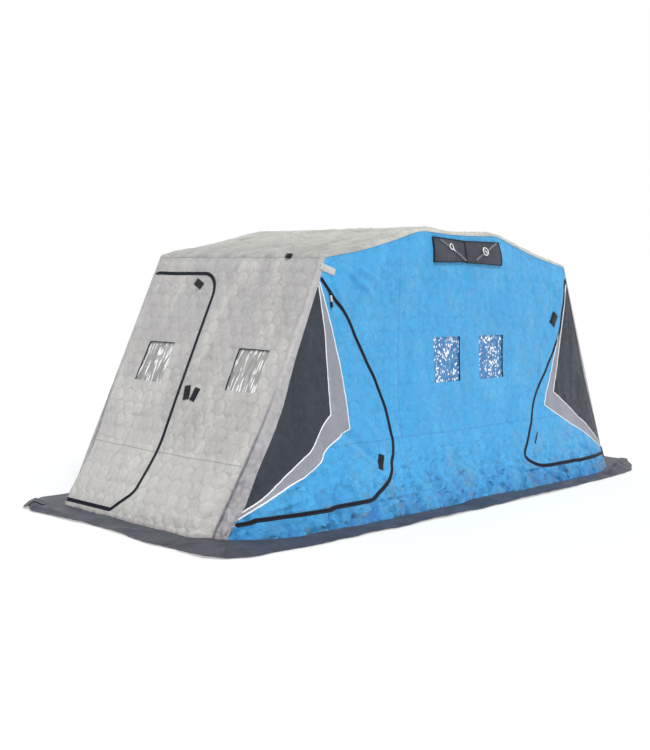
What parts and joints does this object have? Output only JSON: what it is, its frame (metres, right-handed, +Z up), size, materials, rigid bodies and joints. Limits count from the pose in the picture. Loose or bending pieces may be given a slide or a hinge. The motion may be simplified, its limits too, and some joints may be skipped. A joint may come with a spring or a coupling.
{
  "type": "ice fishing hut",
  "caption": "Thermal fabric ice fishing hut with sloping ends on bent tube bows, with hinged fabric doors on the long side and on an end, clear windows and a snow skirt.",
  "frame": {"origin": "on the ground at the centre of the footprint", "axes": "+X along the length towards the right end, +Y from the front long wall to the back one, +Z up"},
  "size_m": [5.28, 2.51, 1.95],
  "materials": {
    "blue_cloth": "woven, quilted",
    "grey_panel_cloth": "woven",
    "charcoal_panel_cloth": "woven",
    "quilted_grey_cloth": "woven, quilted",
    "zip_tape": "woven tape with coil zip",
    "clear_vinyl": "clear film",
    "black_cloth": "coated weave",
    "skirt_cloth": "coated weave",
    "bow_tube": "black powder coat",
    "rail_steel": "black powder coat"
  },
  "bodies": {
    "shell": {"back_left_door": "blue_cloth", "back_right_door": "blue_cloth", "front_wall": "blue_cloth", "front_sill_left": "blue_cloth", "front_sill_right": "blue_cloth", "back_wall": "blue_cloth", "back_grey_panels": "grey_panel_cloth", "back_dark_panels": "charcoal_panel_cloth", "roof_left_slope": "quilted_grey_cloth", "roof_right_slope": "quilted_grey_cloth", "roof_ridge": "quilted_grey_cloth", "left_end_wall": "quilted_grey_cloth", "left_end_header": "quilted_grey_cloth", "right_end_wall": "quilted_grey_cloth", "right_end_door": "quilted_grey_cloth", "front_left_zip": "zip_tape", "front_right_zip": "zip_tape", "back_zips": "zip_tape", "left_end_zip": "zip_tape", "right_end_zip": "zip_tape", "front_windows": "clear_vinyl", "back_windows": "clear_vinyl", "left_end_window": "clear_vinyl", "right_end_windows": "clear_vinyl", "front_vent_cover": "black_cloth", "back_vent_cover": "black_cloth", "left_end_straps": "black_cloth", "skirt_front": "skirt_cloth", "skirt_back": "skirt_cloth", "skirt_left": "skirt_cloth", "skirt_right": "skirt_cloth", "eave_bow_left": "bow_tube", "eave_bow_right": "bow_tube", "ground_bow_left": "bow_tube", "ground_bow_right": "bow_tube", "ridge_bow_left": "bow_tube", "ridge_bow_right": "bow_tube", "roof_spreaders": "bow_tube", "pivot_rail_front": "rail_steel", "pivot_rail_back": "rail_steel"},
    "front_left_door_body": {"front_left_door": "blue_cloth", "front_left_door_grey_panel": "grey_panel_cloth", "front_left_door_dark_panel": "charcoal_panel_cloth", "front_left_door_tape": "zip_tape"},
    "front_right_door_body": {"front_right_door": "blue_cloth", "front_right_door_grey_panel": "grey_panel_cloth", "front_right_door_dark_panel": "charcoal_panel_cloth", "front_right_door_tape": "zip_tape"},
    "left_end_door_body": {"left_end_door": "quilted_grey_cloth", "left_end_door_tape": "zip_tape", "left_end_door_window": "clear_vinyl"}
  },
  "joints": [
    {"name": "front_left_door_hinge", "type": "hinge", "parent": "shell", "child": "front_left_door_body", "pos_m": [-2.25, -0.82, 0], "axis": [-0.4209, 0, -0.9071], "range_deg": [0, 110]},
    {"name": "front_right_door_hinge", "type": "hinge", "parent": "shell", "child": "front_right_door_body", "pos_m": [2.25, -0.82, 0], "axis": [-0.4209, 0, 0.9071], "range_deg": [0, 110]},
    {"name": "left_end_door_hinge", "type": "hinge", "parent": "shell", "child": "left_end_door_body", "pos_m": [-2.25, 0.8145, 0], "axis": [-0.4209, 0, -0.9071], "range_deg": [0, 110]}
  ]
}
